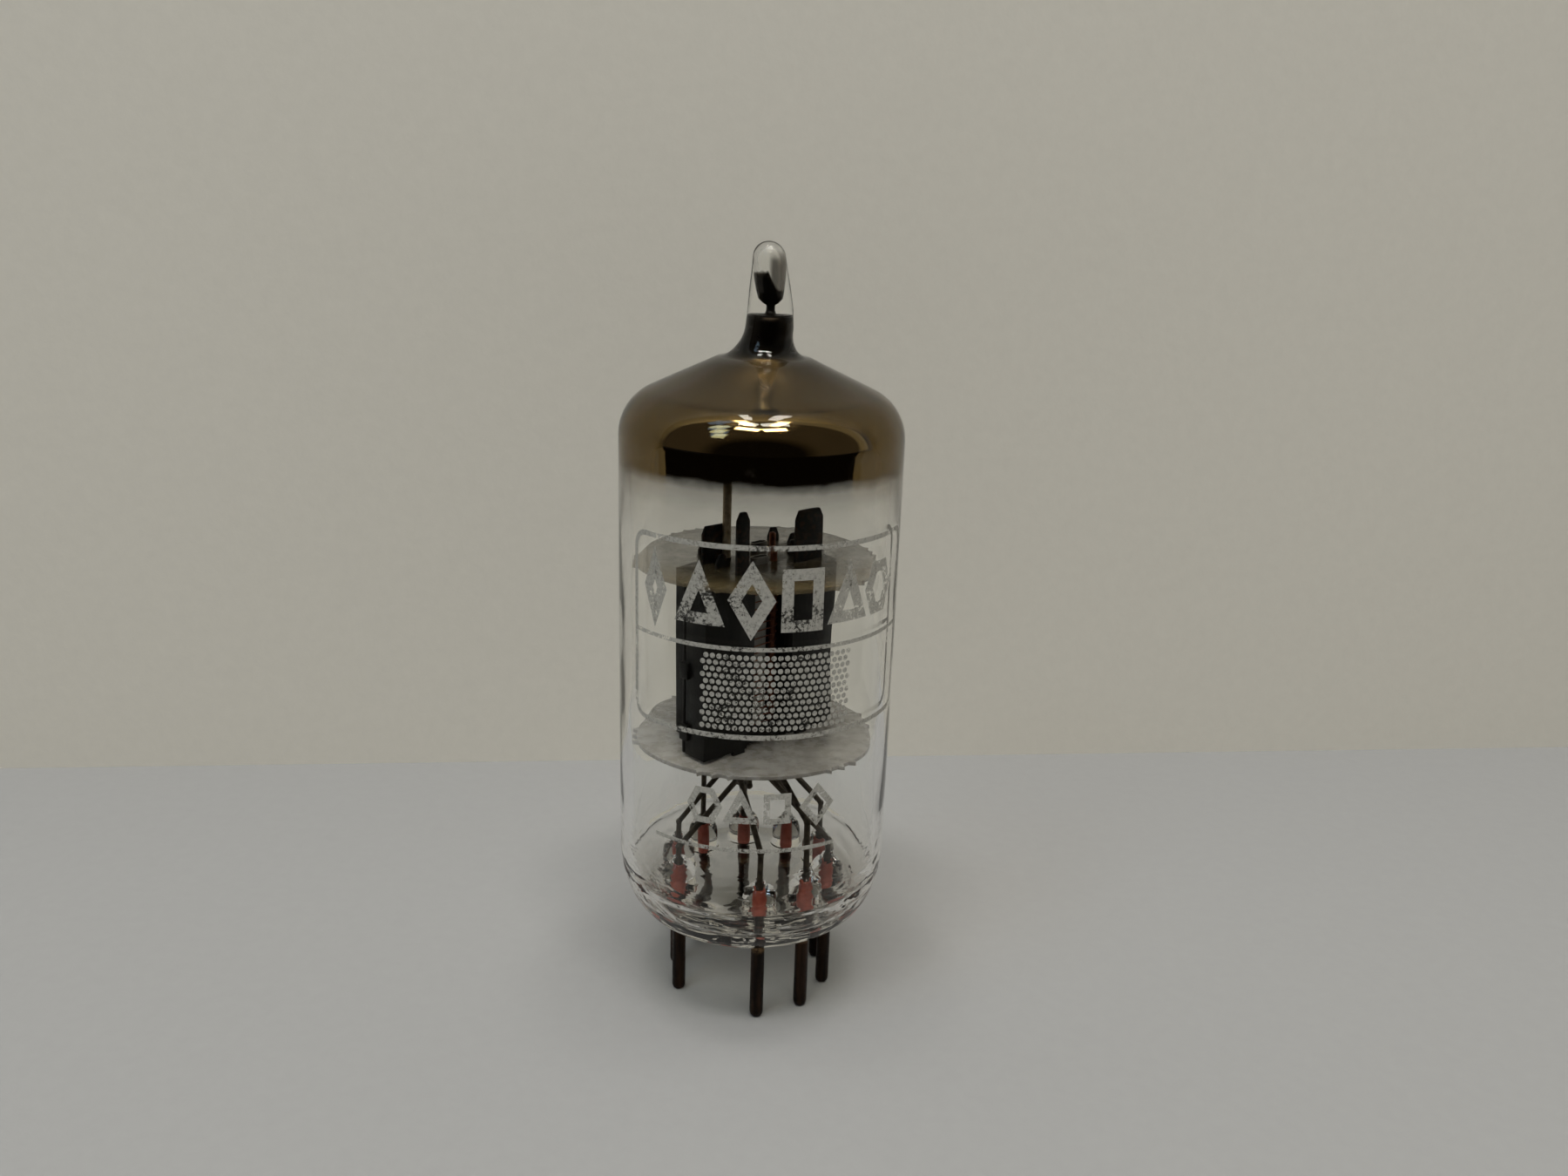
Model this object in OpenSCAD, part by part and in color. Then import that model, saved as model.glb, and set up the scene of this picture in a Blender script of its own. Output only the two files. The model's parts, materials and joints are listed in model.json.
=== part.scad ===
// Nine-pin miniature double triode, standing on its pins. Millimetres, +Z up.
// The origin is on the bulb's axis, level with the tips of the pins.
// The camera side of the tube is -Y. Angles of pins turn from -Y towards +X.

/* [Base and pins] */
// Diameter of each base pin
pin_d = 1.016; // [0.9:0.002:1.2]
// Diameter of the circle that the pins stand on
pin_circle_d = 11.89; // [11.4:0.01:14.3]
// Number of equal steps round the pin circle, one of them left empty
pin_steps = 10; // [10:1:10]
// Angle of pin 1, from the front towards the right
pin_one_angle = 7.7; // [0:0.1:30]
// Length of pin that shows below the glass
pin_length = 6.9; // [5.6:0.1:8.3]
// Height of the rounded end of a pin
pin_nose = 0.45; // [0.2:0.05:0.6]
// Thickness of the pressed glass base between the pins
button_t = 2.1; // [1.6:0.1:2.6]
// Width of glass outside the bosses, out to the seam with the bulb
button_margin = 0.2; // [0.12:0.01:0.4]
// Diameter of the glass boss round each lead
boss_d = 2.5; // [1.8:0.05:2.6]
// Height of each boss above the base's inner face
boss_h = 2.6; // [1.6:0.1:3.2]

/* [Bulb] */
// Outer diameter of the bulb
bulb_d = 20.2; // [19:0.1:24.4]
// Thickness of the bulb's glass
bulb_wall = 0.95; // [0.7:0.05:1.2]
// Height of the curve from the base's underside to the straight wall
heel_h = 5.4; // [4.4:0.1:6.6]
// Length of the bulb's straight wall
wall_length = 31.05; // [30:0.05:38]
// Radius of the shoulder between the wall and the crown
shoulder_r = 3.6; // [2.9:0.1:4.4]
// Slope of the crown
crown_slope = 25; // [20:1:30]
// Diameter of the crown's opening under the exhaust tip
neck_d = 4.3; // [3.5:0.1:5.2]
// Height of the exhaust tip above the crown's opening
tip_h = 7.3; // [5.6:0.1:8.8]
// Diameter of the exhaust tip just above its root
tip_d = 3.3; // [2.7:0.1:4]
// Diameter of the exhaust tip's rounded end
tip_end_d = 2.2; // [1.8:0.1:2.6]
// Length of the wide bore inside the exhaust tip
tip_bore_h = 2.4; // [1.8:0.1:2.8]
// Diameter of the pocket left in the drawn-off end
tip_pocket_d = 1.0; // [0.6:0.1:1.3]
// Length of that pocket
tip_pocket_h = 2.3; // [1.4:0.1:2.6]

/* [Micas] */
// Thickness of each mica
mica_t = 0.3; // [0.2:0.05:0.4]
// Height of the lower mica's underside above the base's inner face
mica_rise = 11.9; // [11:0.1:14.3]
// Clear distance between the micas
mica_spacing = 13.1; // [10.9:0.1:15.8]
// Depth of the spurs that hold a mica against the bulb
spur_depth = 0.35; // [0.2:0.05:0.6]
// Gap between a spur and the bulb's wall
spur_gap = 0.05; // [0.02:0.01:0.1]
// Play of a piece in its hole in the mica
hole_gap = 0.06; // [0.03:0.01:0.1]

/* [Anodes] */
// Thickness of the anode sheet
sheet_t = 0.25; // [0.15:0.01:0.3]
// Gap between the grid winding and the anode, on both sides
anode_clear = 0.2; // [0.15:0.01:0.26]
// Depth that the waist of the anode steps in from its wings
waist_step = 0.5; // [0.4:0.05:0.7]
// Reach of the long wing from the tube's middle
long_wing = 7.2; // [6:0.1:7.5]
// Reach of the short wing from the tube's middle
short_wing = 5.3; // [4.8:0.1:6.2]
// Gap between an anode box and each mica
anode_gap = 0.25; // [0.15:0.05:0.5]
// Height of the cooling fins above the upper mica
fin_h = 3.7; // [2.4:0.1:4.4]
// Length of the lugs that lock an anode to the micas
lug_h = 0.9; // [0.6:0.1:1.2]

/* [Grids and cathodes] */
// Distance of each cathode from the middle plane of the tube
system_x = 1.525; // [1.3:0.005:1.9]
// Distance that each system is staggered along the anodes
system_y = 1.35; // [1:0.05:1.6]
// Width across a cathode sleeve
cathode_w = 1.5; // [1.2:0.05:1.8]
// Thickness through a cathode sleeve
cathode_t = 0.62; // [0.5:0.02:0.8]
// Wall of a cathode sleeve
cathode_wall = 0.08; // [0.06:0.01:0.12]
// Gap between a cathode's edge and the grid's side rod
rod_clear = 0.35; // [0.25:0.01:0.45]
// Diameter of a grid side rod
rod_d = 0.5; // [0.36:0.02:0.6]
// Gap between a cathode's face and the grid winding
grid_clear = 0.11; // [0.08:0.01:0.16]
// Diameter of the grid wire
grid_wire = 0.08; // [0.06:0.01:0.1]
// Pitch of the grid winding
grid_pitch = 0.55; // [0.4:0.05:1]
// Diameter of the coated heater wire
heater_d = 0.2; // [0.14:0.02:0.22]

/* [Leads and getter] */
// Diameter of the copper-clad seal wires
seal_d = 0.66; // [0.5:0.02:0.8]
// Diameter of the nickel leads
lead_d = 0.42; // [0.3:0.02:0.5]
// Diameter of the getter's support wire
post_d = 0.62; // [0.4:0.02:0.7]
// Gap between the getter ring and the crown above it
getter_clear = 2.0; // [1:0.1:2.6]
// Width of the getter's channel
getter_w = 1.1; // [0.8:0.1:1.4]
// Height of the getter's channel
getter_h = 0.7; // [0.5:0.05:0.9]
// Thickness of the getter film
film_t = 0.04; // [0.02:0.01:0.08]
// Depth of the film below the foot of the shoulder
film_drop = 0.7; // [0.2:0.1:1.6]

/* [Hidden] */
$fn = 48;

// Base and bulb
pin_step = 360 / pin_steps;
pin_r = pin_circle_d / 2;
bulb_r = bulb_d / 2;
button_r = pin_r + boss_d / 2 + button_margin;
button_z = pin_length;
button_top = button_z + button_t;
boss_top = button_top + boss_h;
boss_neck = 0.9;
wall_z = button_z + heel_h;
shoulder_z = wall_z + wall_length;
neck_r = neck_d / 2;
capillary_d = 0.32;
capillary_h = 0.6;
crown_foot = [bulb_r - shoulder_r * (1 - sin(crown_slope)),
              shoulder_z + shoulder_r * cos(crown_slope)];
neck_z = crown_foot[1] + (crown_foot[0] - neck_r) * tan(crown_slope);
inner_r = bulb_r - bulb_wall;
curve_steps = 14;

// Seals and leads
seal_depth = 1.3;
seal_foot = button_z + seal_depth;
seal_top = boss_top - boss_neck;

// Micas and the space between them
low_mica_z = button_top + mica_rise;
low_mica_top = low_mica_z + mica_t;
up_mica_z = low_mica_top + mica_spacing;
up_mica_top = up_mica_z + mica_t;
mica_r = inner_r - spur_gap;
spur_groups = 6;
spurs_each = 3;
spur_pitch = 7;

// The cage stands with pin 2 on its +X side and pin 7 on its -X side
cage_angle = pin_one_angle + pin_step - 90;
rod_spacing = cathode_w + 2 * rod_clear + rod_d;
grid_open = cathode_t + 2 * grid_clear;
anode_half = grid_open / 2 + grid_wire + anode_clear + sheet_t / 2;
anode_inner_x = system_x - anode_half;
waist_x = system_x + anode_half;
anode_outer_x = waist_x + waist_step;
anode_z = low_mica_top + anode_gap;
anode_top = up_mica_z - anode_gap;
waist_half = rod_spacing / 2 + 0.4;
waist_front = -system_y - waist_half;
waist_back = -system_y + waist_half;
wing_front = waist_front - 0.4;
wing_back = waist_back + 0.4;
tail_bend = short_wing - 1.6;
window_margin = 1.1;
crimp_h = 1.2;
crimp_reach = 0.55;

// Places of the anode tabs, each as [start, end] on its wall
fin_span = [wing_back + 0.05, tail_bend - 0.3];
inner_fin_span = [short_wing - 3.1, short_wing - 0.5];
lug_span = [wing_front - 1.15, wing_front - 0.1];
heel_span = [wing_back + 0.7, wing_back + 1.8];
strip_h = fin_h + 0.65;
inner_fin_h = fin_h - 1;

// Cathodes, grids and heaters
rod_z = low_mica_z - 1.1;
rod_top = up_mica_top + 1.0;
sleeve_z = low_mica_z - 0.6;
sleeve_top = up_mica_top + 0.5;
turns = floor((anode_top - anode_z - 0.8) / grid_pitch);
notch = 0.06;
turn_length = rod_spacing + rod_d - 2 * notch;
winding_z = (anode_z + anode_top - turns * grid_pitch) / 2;
heater_x = cathode_w / 2 - cathode_t / 2 - 0.03;
heater_z = sleeve_z - 0.7;
heater_top = sleeve_top - 0.8;
heater_passes = 4;

// Heights at which the leads cross under the lower mica
grid_lead_z = rod_z + 0.35;
cathode_lead_z = grid_lead_z - 1.0;
heater_lead_z = cathode_lead_z - 0.9;
tap_lead_z = heater_lead_z - 1.0;

// Getter
post_y = -2.9;
post_x = -anode_inner_x + sheet_t / 2 + post_d / 2;
post_r = norm([post_x, post_y]);
ring_edge = post_r + getter_w / 2;
ring_z = neck_z - (ring_edge - neck_r) * tan(crown_slope) - (bulb_wall + film_t) / cos(crown_slope)
    - getter_clear - getter_h;
post_foot = 0.3;

function pin_angle(n) = pin_one_angle + (n - 1) * pin_step - 90;
// A pin's place, in the cage's own axes
function pin_place(n) = pin_r * [cos(pin_angle(n) - cage_angle), sin(pin_angle(n) - cage_angle)];
// Points along part of an ellipse, from angle a to angle b
function arc(centre, rx, ry, a, b, n = curve_steps) =
    [for (i = [0:n]) let (t = a + (b - a) * i / n) centre + [rx * cos(t), ry * sin(t)]];
function reversed(list) = [for (i = [len(list) - 1:-1:0]) list[i]];
function unit(v) = v / norm(v);
function normal(a, b) = let (d = unit(b - a)) [-d[1], d[0]];
// Offsets of a bent sheet's centre line, mitred at each bend
function side(path, off) = [for (i = [0:len(path) - 1])
    let (before = i == 0 ? normal(path[0], path[1]) : normal(path[i - 1], path[i]),
         after = i == len(path) - 1 ? before : normal(path[i], path[i + 1]))
    path[i] + off * (before + after) / (1 + before * after)];
function sheet(path, t) = concat(side(path, t / 2), reversed(side(path, -t / 2)));

// The bulb's outline at a depth d inside its outer face, from the heel to the neck
function bulb_side(d) = concat(
    arc([button_r, wall_z], bulb_r - button_r - d, heel_h - d, -90, 0),
    arc([bulb_r - shoulder_r, shoulder_z], shoulder_r - d, shoulder_r - d, 0, 90 - crown_slope));
function crown_edge(d) = [neck_r, neck_z - d / cos(crown_slope)];

module ring_of_pins() {
    for (n = [1:pin_steps - 1]) rotate([0, 0, pin_angle(n)]) translate([pin_r, 0, 0]) children();
}

module at_pin(n) {
    rotate([0, 0, pin_angle(n)]) translate([pin_r, 0, 0]) children();
}

// Side 2 is the system by pins 1 to 3, and side 1 is the same turned half round
module cage(side = 2) {
    rotate([0, 0, cage_angle + (side == 2 ? 0 : 180)]) children();
}

// A round rod from a to b, stopping short of either end by a share of its diameter
module rod(a, b, d, trim_a = 0, trim_b = 0) {
    v = b - a;
    translate(a) rotate([0, acos(v[2] / norm(v)), atan2(v[1], v[0])])
        translate([0, 0, trim_a * d]) cylinder(d = d, h = norm(v) - (trim_a + trim_b) * d, $fn = 24);
}

// A wire through a list of points, with a round knuckle at each bend
module wire(points, d) {
    last = len(points) - 1;
    knuckle = 1.24;
    trim = 0.3;
    for (i = [1:last]) rod(points[i - 1], points[i], d, i == 1 ? 0 : trim, i == last ? 0 : trim);
    for (i = [1:last - 1]) translate(points[i]) sphere(d = d * knuckle, $fn = 24);
}

module slot(length, width, h) {
    linear_extrude(height = h) union() {
        square([width, length - width], center = true);
        for (s = [-1, 1]) translate([0, s * (length - width) / 2]) circle(d = width);
    }
}

module glass_bulb() {
    color("lightcyan", 0.35) rotate_extrude($fn = 96)
        polygon(concat(bulb_side(0), [crown_edge(0), crown_edge(bulb_wall)],
                       reversed(bulb_side(bulb_wall))));
}

module exhaust_tip() {
    root_z = neck_z - bulb_wall / cos(crown_slope);
    end_r = tip_end_d / 2;
    end_z = neck_z + tip_h - end_r;
    bore_r = tip_d / 2 - 0.45;
    bore_top = neck_z + tip_bore_h;
    outline = concat(
        [[0, root_z], [neck_r, root_z], [neck_r, neck_z]],
        arc([neck_r, neck_z + 1.1], neck_r - tip_d / 2, 1.1, 270, 180, 6),
        arc([0, end_z], end_r, end_r, 0, 90));
    color("lightcyan", 0.35) difference() {
        rotate_extrude() polygon(outline);
        translate([0, 0, root_z - 1]) cylinder(r = bore_r, h = bore_top - root_z + 1);
        translate([0, 0, bore_top - 0.1]) cylinder(d = capillary_d, h = capillary_h + 0.2, $fn = 24);
        translate([0, 0, bore_top + capillary_h]) cylinder(d = tip_pocket_d, h = tip_pocket_h);
    }
}

module stem_button() {
    color("lightcyan", 0.35) difference() {
        union() {
            translate([0, 0, button_z]) cylinder(r = button_r, h = button_t, $fn = 96);
            ring_of_pins() translate([0, 0, button_top - 0.2]) {
                cylinder(d = boss_d, h = boss_h - boss_neck + 0.2);
                translate([0, 0, boss_h - boss_neck + 0.2])
                    cylinder(d1 = boss_d, d2 = seal_d + 0.5, h = boss_neck);
            }
        }
        ring_of_pins() {
            cylinder(d = seal_d, h = seal_top);
            translate([0, 0, seal_top - 0.1]) cylinder(d = lead_d, h = boss_neck + 1);
        }
    }
}

// A pin necks down to its seal wire's diameter inside the glass, and the two are butt-welded
module base_pin(n) {
    color("saddlebrown") at_pin(n) rotate_extrude() polygon(concat([[0, 0]],
        arc([pin_d / 2 - pin_nose * 0.6, pin_nose], pin_nose * 0.6, pin_nose, -90, 0, 6),
        [[pin_d / 2, button_z], [seal_d / 2, button_z],
         [seal_d / 2, seal_foot], [0, seal_foot]]));
}

module seal_wires() {
    color("firebrick") ring_of_pins()
        translate([0, 0, seal_foot]) cylinder(d = seal_d, h = seal_top - seal_foot);
}

// A lead leaves its boss upright, then crosses to the electrode that it is welded to
module lead(n, via, end, rise = 2.2) {
    p = pin_place(n);
    foot = [p[0], p[1], seal_top];
    bend = [p[0], p[1], boss_top + rise];
    color("dimgray") rotate([0, 0, cage_angle]) wire(concat([foot, bend], via, [end]), lead_d);
}

// The leads of side 1 are those of side 2, turned half round
module turned(side) {
    rotate([0, 0, side == 2 ? 0 : 180]) children();
}

module anode_lead(side) {
    x = anode_outer_x + sheet_t / 2 + lead_d / 2;
    y = (lug_span[0] + lug_span[1]) / 2;
    turned(side) lead(1, [[x, y, low_mica_z - lug_h - 0.8]], [x, y, low_mica_z - 0.15]);
}

module grid_lead(side) {
    x = system_x + rod_d / 2 + lead_d / 2;
    y = -system_y + rod_spacing / 2;
    turned(side) lead(2, [[x, y, grid_lead_z - 0.8]], [x, y, low_mica_z - 0.25], 4.0);
}

module cathode_lead(side) {
    x = system_x + cathode_t / 2 + lead_d / 2;
    y = -system_y;
    turned(side) lead(3, [[x, y, cathode_lead_z]], [x, y, low_mica_z - 0.2], 1.0);
}

module heater_lead_1() {
    lead(5, [[-system_x, system_y + heater_x, heater_lead_z]],
         [-system_x, system_y + heater_x, heater_z], 1.8);
}

module heater_lead_2() {
    lead(4, [[system_x + 0.5, 2.2, heater_lead_z - 0.6],
             [system_x, -system_y + heater_x, heater_lead_z]],
         [system_x, -system_y + heater_x, heater_z]);
}

module heater_centre_tap() {
    a = [system_x, -system_y - heater_x, heater_z];
    b = [-system_x, system_y - heater_x, heater_z];
    a_foot = [a[0], a[1], tap_lead_z + 0.2];
    middle = [0, -system_y - heater_x, tap_lead_z];
    lead(9, [middle, a_foot], a, 0.8);
    color("dimgray") cage() {
        b_foot = [b[0], b[1], tap_lead_z + 0.2];
        rod(middle, b_foot, lead_d, 0.3, 0.3);
        rod(b_foot, b, lead_d, 0.3);
        translate(b_foot) sphere(d = lead_d * 1.24, $fn = 24);
    }
}

module mica_blank() {
    linear_extrude(height = mica_t) union() {
        circle(r = mica_r - spur_depth, $fn = 96);
        for (g = [0:spur_groups - 1], s = [0:spurs_each - 1])
            rotate([0, 0, g * 360 / spur_groups + (s - (spurs_each - 1) / 2) * spur_pitch])
                polygon([[mica_r - spur_depth - 0.3, -0.45], [mica_r, 0],
                         [mica_r - spur_depth - 0.3, 0.45]]);
    }
}

// Slots that the tabs of one anode pass through
module tab_hole(x, span, t = sheet_t) {
    translate([x - t / 2 - hole_gap, span[0] - hole_gap, -1])
        cube([t + 2 * hole_gap, span[1] - span[0] + 2 * hole_gap, mica_t + 2]);
}

module electrode_holes() {
    translate([system_x, -system_y, -1]) slot(cathode_w + 2 * hole_gap, cathode_t + 2 * hole_gap, mica_t + 2);
    for (s = [-1, 1]) translate([system_x, -system_y + s * rod_spacing / 2, -1])
        cylinder(d = rod_d + 2 * hole_gap, h = mica_t + 2);
    for (x = [anode_inner_x, anode_outer_x]) tab_hole(x, lug_span);
}

module lower_mica() {
    color("lightgray", 0.6) cage() translate([0, 0, low_mica_z]) difference() {
        mica_blank();
        for (a = [0, 180]) rotate([0, 0, a]) {
            electrode_holes();
            for (x = [anode_inner_x, anode_outer_x]) tab_hole(x, heel_span);
        }
    }
}

module upper_mica() {
    color("tan", 0.6) cage() translate([0, 0, up_mica_z]) difference() {
        mica_blank();
        for (a = [0, 180]) rotate([0, 0, a]) {
            electrode_holes();
            tab_hole(anode_outer_x, fin_span);
            tab_hole(anode_inner_x, inner_fin_span);
        }
    }
}

// A flat tab in the plane of an anode wall, with its outer corners cut
module tab(x, span, z0, z1, chamfer = 0.3) {
    low = min(z0, z1);
    up = z1 > z0;
    h = abs(z1 - z0);
    w = span[1] - span[0];
    c = chamfer;
    translate([x + sheet_t / 2, span[0], low]) rotate([0, -90, 0]) linear_extrude(height = sheet_t)
        polygon(up ? [[0, 0], [h - 2 * c, 0], [h, c], [h, w - c], [h - 2 * c, w], [0, w]]
                   : [[h, 0], [c, 0], [0, c], [0, w - c], [c, w], [h, w]]);
}

module anode_outer(side, tall) {
    path = [[anode_inner_x + sheet_t, -long_wing], [anode_outer_x, -long_wing],
            [anode_outer_x, wing_front], [waist_x, waist_front], [waist_x, waist_back],
            [anode_outer_x, wing_back], [anode_outer_x, tail_bend],
            [anode_outer_x - 0.3, short_wing], [anode_inner_x + sheet_t, short_wing]];
    window_h = anode_top - anode_z - 2 * window_margin;
    color("#2b2a29") cage(side) {
        difference() {
            translate([0, 0, anode_z]) linear_extrude(height = anode_top - anode_z)
                polygon(sheet(path, sheet_t));
            translate([waist_x - 0.5, -system_y - rod_spacing / 2 + 0.2, anode_z + window_margin])
                cube([1, rod_spacing - 0.4 + 0.75, window_h]);
        }
        for (span = [lug_span, heel_span]) tab(anode_outer_x, span, anode_z + 0.5, low_mica_z - lug_h);
        tab(anode_outer_x, lug_span, anode_top - 0.5, up_mica_top + (tall ? strip_h : lug_h));
        tab(anode_outer_x, fin_span, anode_top - 0.5, up_mica_top + (tall ? fin_h : lug_h));
    }
}

module anode_inner(side, tall) {
    x = anode_inner_x;
    color("#2b2a29") cage(side) {
        translate([x - sheet_t / 2, -long_wing - sheet_t / 2, anode_z])
            cube([sheet_t, long_wing + short_wing + sheet_t, anode_top - anode_z]);
        for (span = [lug_span, heel_span]) tab(x, span, anode_z + 0.5, low_mica_z - lug_h);
        tab(x, lug_span, anode_top - 0.5, up_mica_top + lug_h);
        tab(x, inner_fin_span, anode_top - 0.5, up_mica_top + (tall ? inner_fin_h : lug_h));
        for (end = [[-1, long_wing], [1, short_wing]], k = [0:2])
            translate([x - sheet_t / 2,
                       end[0] * (end[1] + sheet_t) - sheet_t / 2,
                       anode_z + window_margin + k * (anode_top - anode_z - 2 * window_margin - crimp_h) / 2])
                cube([sheet_t + crimp_reach, sheet_t, crimp_h]);
    }
}

module control_grid(side) {
    color("#a5573a") cage(side) translate([system_x, -system_y, 0]) {
        for (s = [-1, 1]) translate([0, s * rod_spacing / 2, rod_z])
            cylinder(d = rod_d, h = rod_top - rod_z);
        for (k = [0:turns - 1]) translate([0, 0, winding_z + (k + 0.5) * grid_pitch]) difference() {
            slot(turn_length + 2 * grid_wire, grid_open + 2 * grid_wire, grid_wire);
            translate([0, 0, -1]) slot(turn_length, grid_open, grid_wire + 2);
        }
    }
}

module cathode(side) {
    color("gainsboro") cage(side) translate([system_x, -system_y, sleeve_z]) difference() {
        slot(cathode_w, cathode_t, sleeve_top - sleeve_z);
        translate([0, 0, -1])
            slot(cathode_w - 2 * cathode_wall, cathode_t - 2 * cathode_wall, sleeve_top - sleeve_z + 2);
    }
}

// A folded hairpin: it goes up and down inside the sleeve, and both ends leave below
module heater(side) {
    pitch = 2 * heater_x / (heater_passes - 1);
    color("white") cage(side) translate([system_x, -system_y, 0]) {
        for (k = [0:heater_passes - 1]) {
            y = -heater_x + k * pitch;
            outer = k == 0 || k == heater_passes - 1;
            low = outer ? heater_z : sleeve_z + 0.4;
            translate([0, y, low]) cylinder(d = heater_d, h = heater_top - low, $fn = 20);
        }
        for (k = [0:heater_passes - 2]) {
            y = -heater_x + k * pitch;
            z = k % 2 == 0 ? heater_top : sleeve_z + 0.4;
            rod([0, y, z], [0, y + pitch, z], heater_d);
            for (e = [0, 1]) translate([0, y + e * pitch, z]) sphere(d = heater_d * 1.08, $fn = 20);
        }
    }
}

module getter_post() {
    color("peru") cage() translate([post_x, post_y, up_mica_top + post_foot])
        cylinder(d = post_d, h = ring_z - up_mica_top - post_foot);
}

module getter_ring() {
    wall = 0.15;
    color("gray") translate([0, 0, ring_z]) difference() {
        rotate_extrude($fn = 96) translate([post_r - getter_w / 2, 0]) square([getter_w, getter_h]);
        rotate_extrude($fn = 96) translate([post_r - getter_w / 2 + wall, wall]) square([getter_w - 2 * wall, getter_h]);
    }
}

module getter_film() {
    outer = bulb_wall;
    inner = bulb_wall + film_t;
    foot = shoulder_z - film_drop;
    function skin(d) = concat([[bulb_r - d, foot]],
        arc([bulb_r - shoulder_r, shoulder_z], shoulder_r - d, shoulder_r - d, 0, 90 - crown_slope),
        [crown_edge(d)]);
    color("#6b6259") rotate_extrude($fn = 96) polygon(concat(skin(outer), reversed(skin(inner))));
}

glass_bulb();
exhaust_tip();
stem_button();
for (n = [1:pin_steps - 1]) base_pin(n);
seal_wires();
for (s = [1, 2]) {
    anode_lead(s);
    grid_lead(s);
    cathode_lead(s);
    anode_outer(s, s == 2);
    anode_inner(s, s == 1);
    control_grid(s);
    cathode(s);
    heater(s);
}
heater_lead_1();
heater_lead_2();
heater_centre_tap();
lower_mica();
upper_mica();
getter_post();
getter_ring();
getter_film();
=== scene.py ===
"""Looks of the nine-pin miniature vacuum tube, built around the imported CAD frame.

Lengths are in millimetres until a mesh is made. +Z is up and -Y is the front, and the base pins turn
from -Y towards +X.
"""

import json
import math

import bmesh
import bpy
from mathutils import Matrix, Vector
from mathutils.geometry import delaunay_2d_cdt


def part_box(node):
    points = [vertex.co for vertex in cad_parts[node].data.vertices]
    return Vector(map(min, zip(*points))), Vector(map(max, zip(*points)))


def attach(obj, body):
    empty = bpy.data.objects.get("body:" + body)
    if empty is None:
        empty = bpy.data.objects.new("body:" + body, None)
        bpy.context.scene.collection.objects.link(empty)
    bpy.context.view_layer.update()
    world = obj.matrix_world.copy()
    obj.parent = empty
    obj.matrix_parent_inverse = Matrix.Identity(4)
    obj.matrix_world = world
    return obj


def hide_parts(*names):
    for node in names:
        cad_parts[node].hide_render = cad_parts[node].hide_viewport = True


MM = 0.001
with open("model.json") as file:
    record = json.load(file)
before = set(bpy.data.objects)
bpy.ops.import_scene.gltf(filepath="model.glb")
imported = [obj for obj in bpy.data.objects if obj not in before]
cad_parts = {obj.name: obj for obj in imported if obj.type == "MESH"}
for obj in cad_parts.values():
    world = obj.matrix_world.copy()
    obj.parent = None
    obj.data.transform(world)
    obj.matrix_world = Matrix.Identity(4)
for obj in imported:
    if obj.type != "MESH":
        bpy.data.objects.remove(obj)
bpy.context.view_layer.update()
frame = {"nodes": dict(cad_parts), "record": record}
NODES = frame["nodes"]


def mm_box(node):
    """A CAD node's lowest and highest corners, in millimetres."""
    low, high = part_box(node)
    return low / MM, high / MM


# ---------------------------------------------------------------- camera

CAMERA_PLACE = Vector((1.9, -91.8, 59.8))
CAMERA_PITCH = math.radians(16.79)
CAMERA_ROLL = math.radians(-1.82)
SENSOR_W = 36
FOCAL_LENGTH = 30.08


def make_camera():
    """A camera in front of the tube, tilted down and rolled a little."""
    data = bpy.data.cameras.new("camera")
    data.sensor_width = SENSOR_W
    data.lens = FOCAL_LENGTH
    data.clip_start = 0.005
    data.clip_end = 20
    ahead = Vector((0, math.cos(CAMERA_PITCH), -math.sin(CAMERA_PITCH)))
    right = Vector((1, 0, 0))
    down = ahead.cross(right)
    across = math.cos(CAMERA_ROLL) * right + math.sin(CAMERA_ROLL) * down
    up = math.sin(CAMERA_ROLL) * right - math.cos(CAMERA_ROLL) * down
    camera = bpy.data.objects.new("camera", data)
    turned_to = Matrix((across, up, -ahead)).transposed().to_4x4()
    camera.matrix_world = Matrix.Translation(CAMERA_PLACE * MM) @ turned_to
    bpy.context.scene.collection.objects.link(camera)
    bpy.context.scene.camera = camera


make_camera()


# ---------------------------------------------------------------- sizes

# Read from the frame.
BULB_LOW, BULB_HIGH = mm_box("glass_bulb")
STEM_HIGH = mm_box("stem_button")[1]
TIP_HIGH = mm_box("exhaust_tip")[1]
LOW_MICA_TOP = mm_box("lower_mica")[1].z
UP_MICA, UP_MICA_TOP = (corner.z for corner in mm_box("upper_mica"))
MOUNTS = {mount["name"]: mount for mount in frame["record"]["mounts"]}

BULB_R = BULB_HIGH.x
BASE_Z = BULB_LOW.z
NECK_Z = BULB_HIGH.z
BOSS_TOP = STEM_HIGH.z
BUTTON_R = STEM_HIGH.x
TIP_TOP = TIP_HIGH.z
PIN_PLACES = [sum(mm_box(f"base_pin_{n}"), Vector()) / 2 for n in range(1, 10)]
CAGE_ANGLE = math.atan2(PIN_PLACES[1].y, PIN_PLACES[1].x)

# The envelope's own sizes, as in the CAD.
GLASS_T = 0.95
BUTTON_T = 2.1
HEEL_H = 5.4
WALL_Z = BASE_Z + HEEL_H
SHOULDER_Z = WALL_Z + MOUNTS["bulb_wall"]["dims"]["length_mm"]
SHOULDER_R = 3.6
CROWN_SLOPE = math.radians(25)
NECK_R = 2.15
FLOOR_Z = BASE_Z + BUTTON_T

# The exhaust tip's bore, the capillary above it and the pocket at its end.
BORE_R = 1.2
BORE_TOP = NECK_Z + 2.4
BORE_END_R = 0.5
THROAT_W = 1.0
THROAT_H = 0.95
CAPILLARY_R = 0.16
POCKET_Z = BORE_TOP + 0.6
POCKET_TOP = TIP_TOP - 0.42
POCKET_R = 0.76
POCKET_END_H = 0.85

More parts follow.
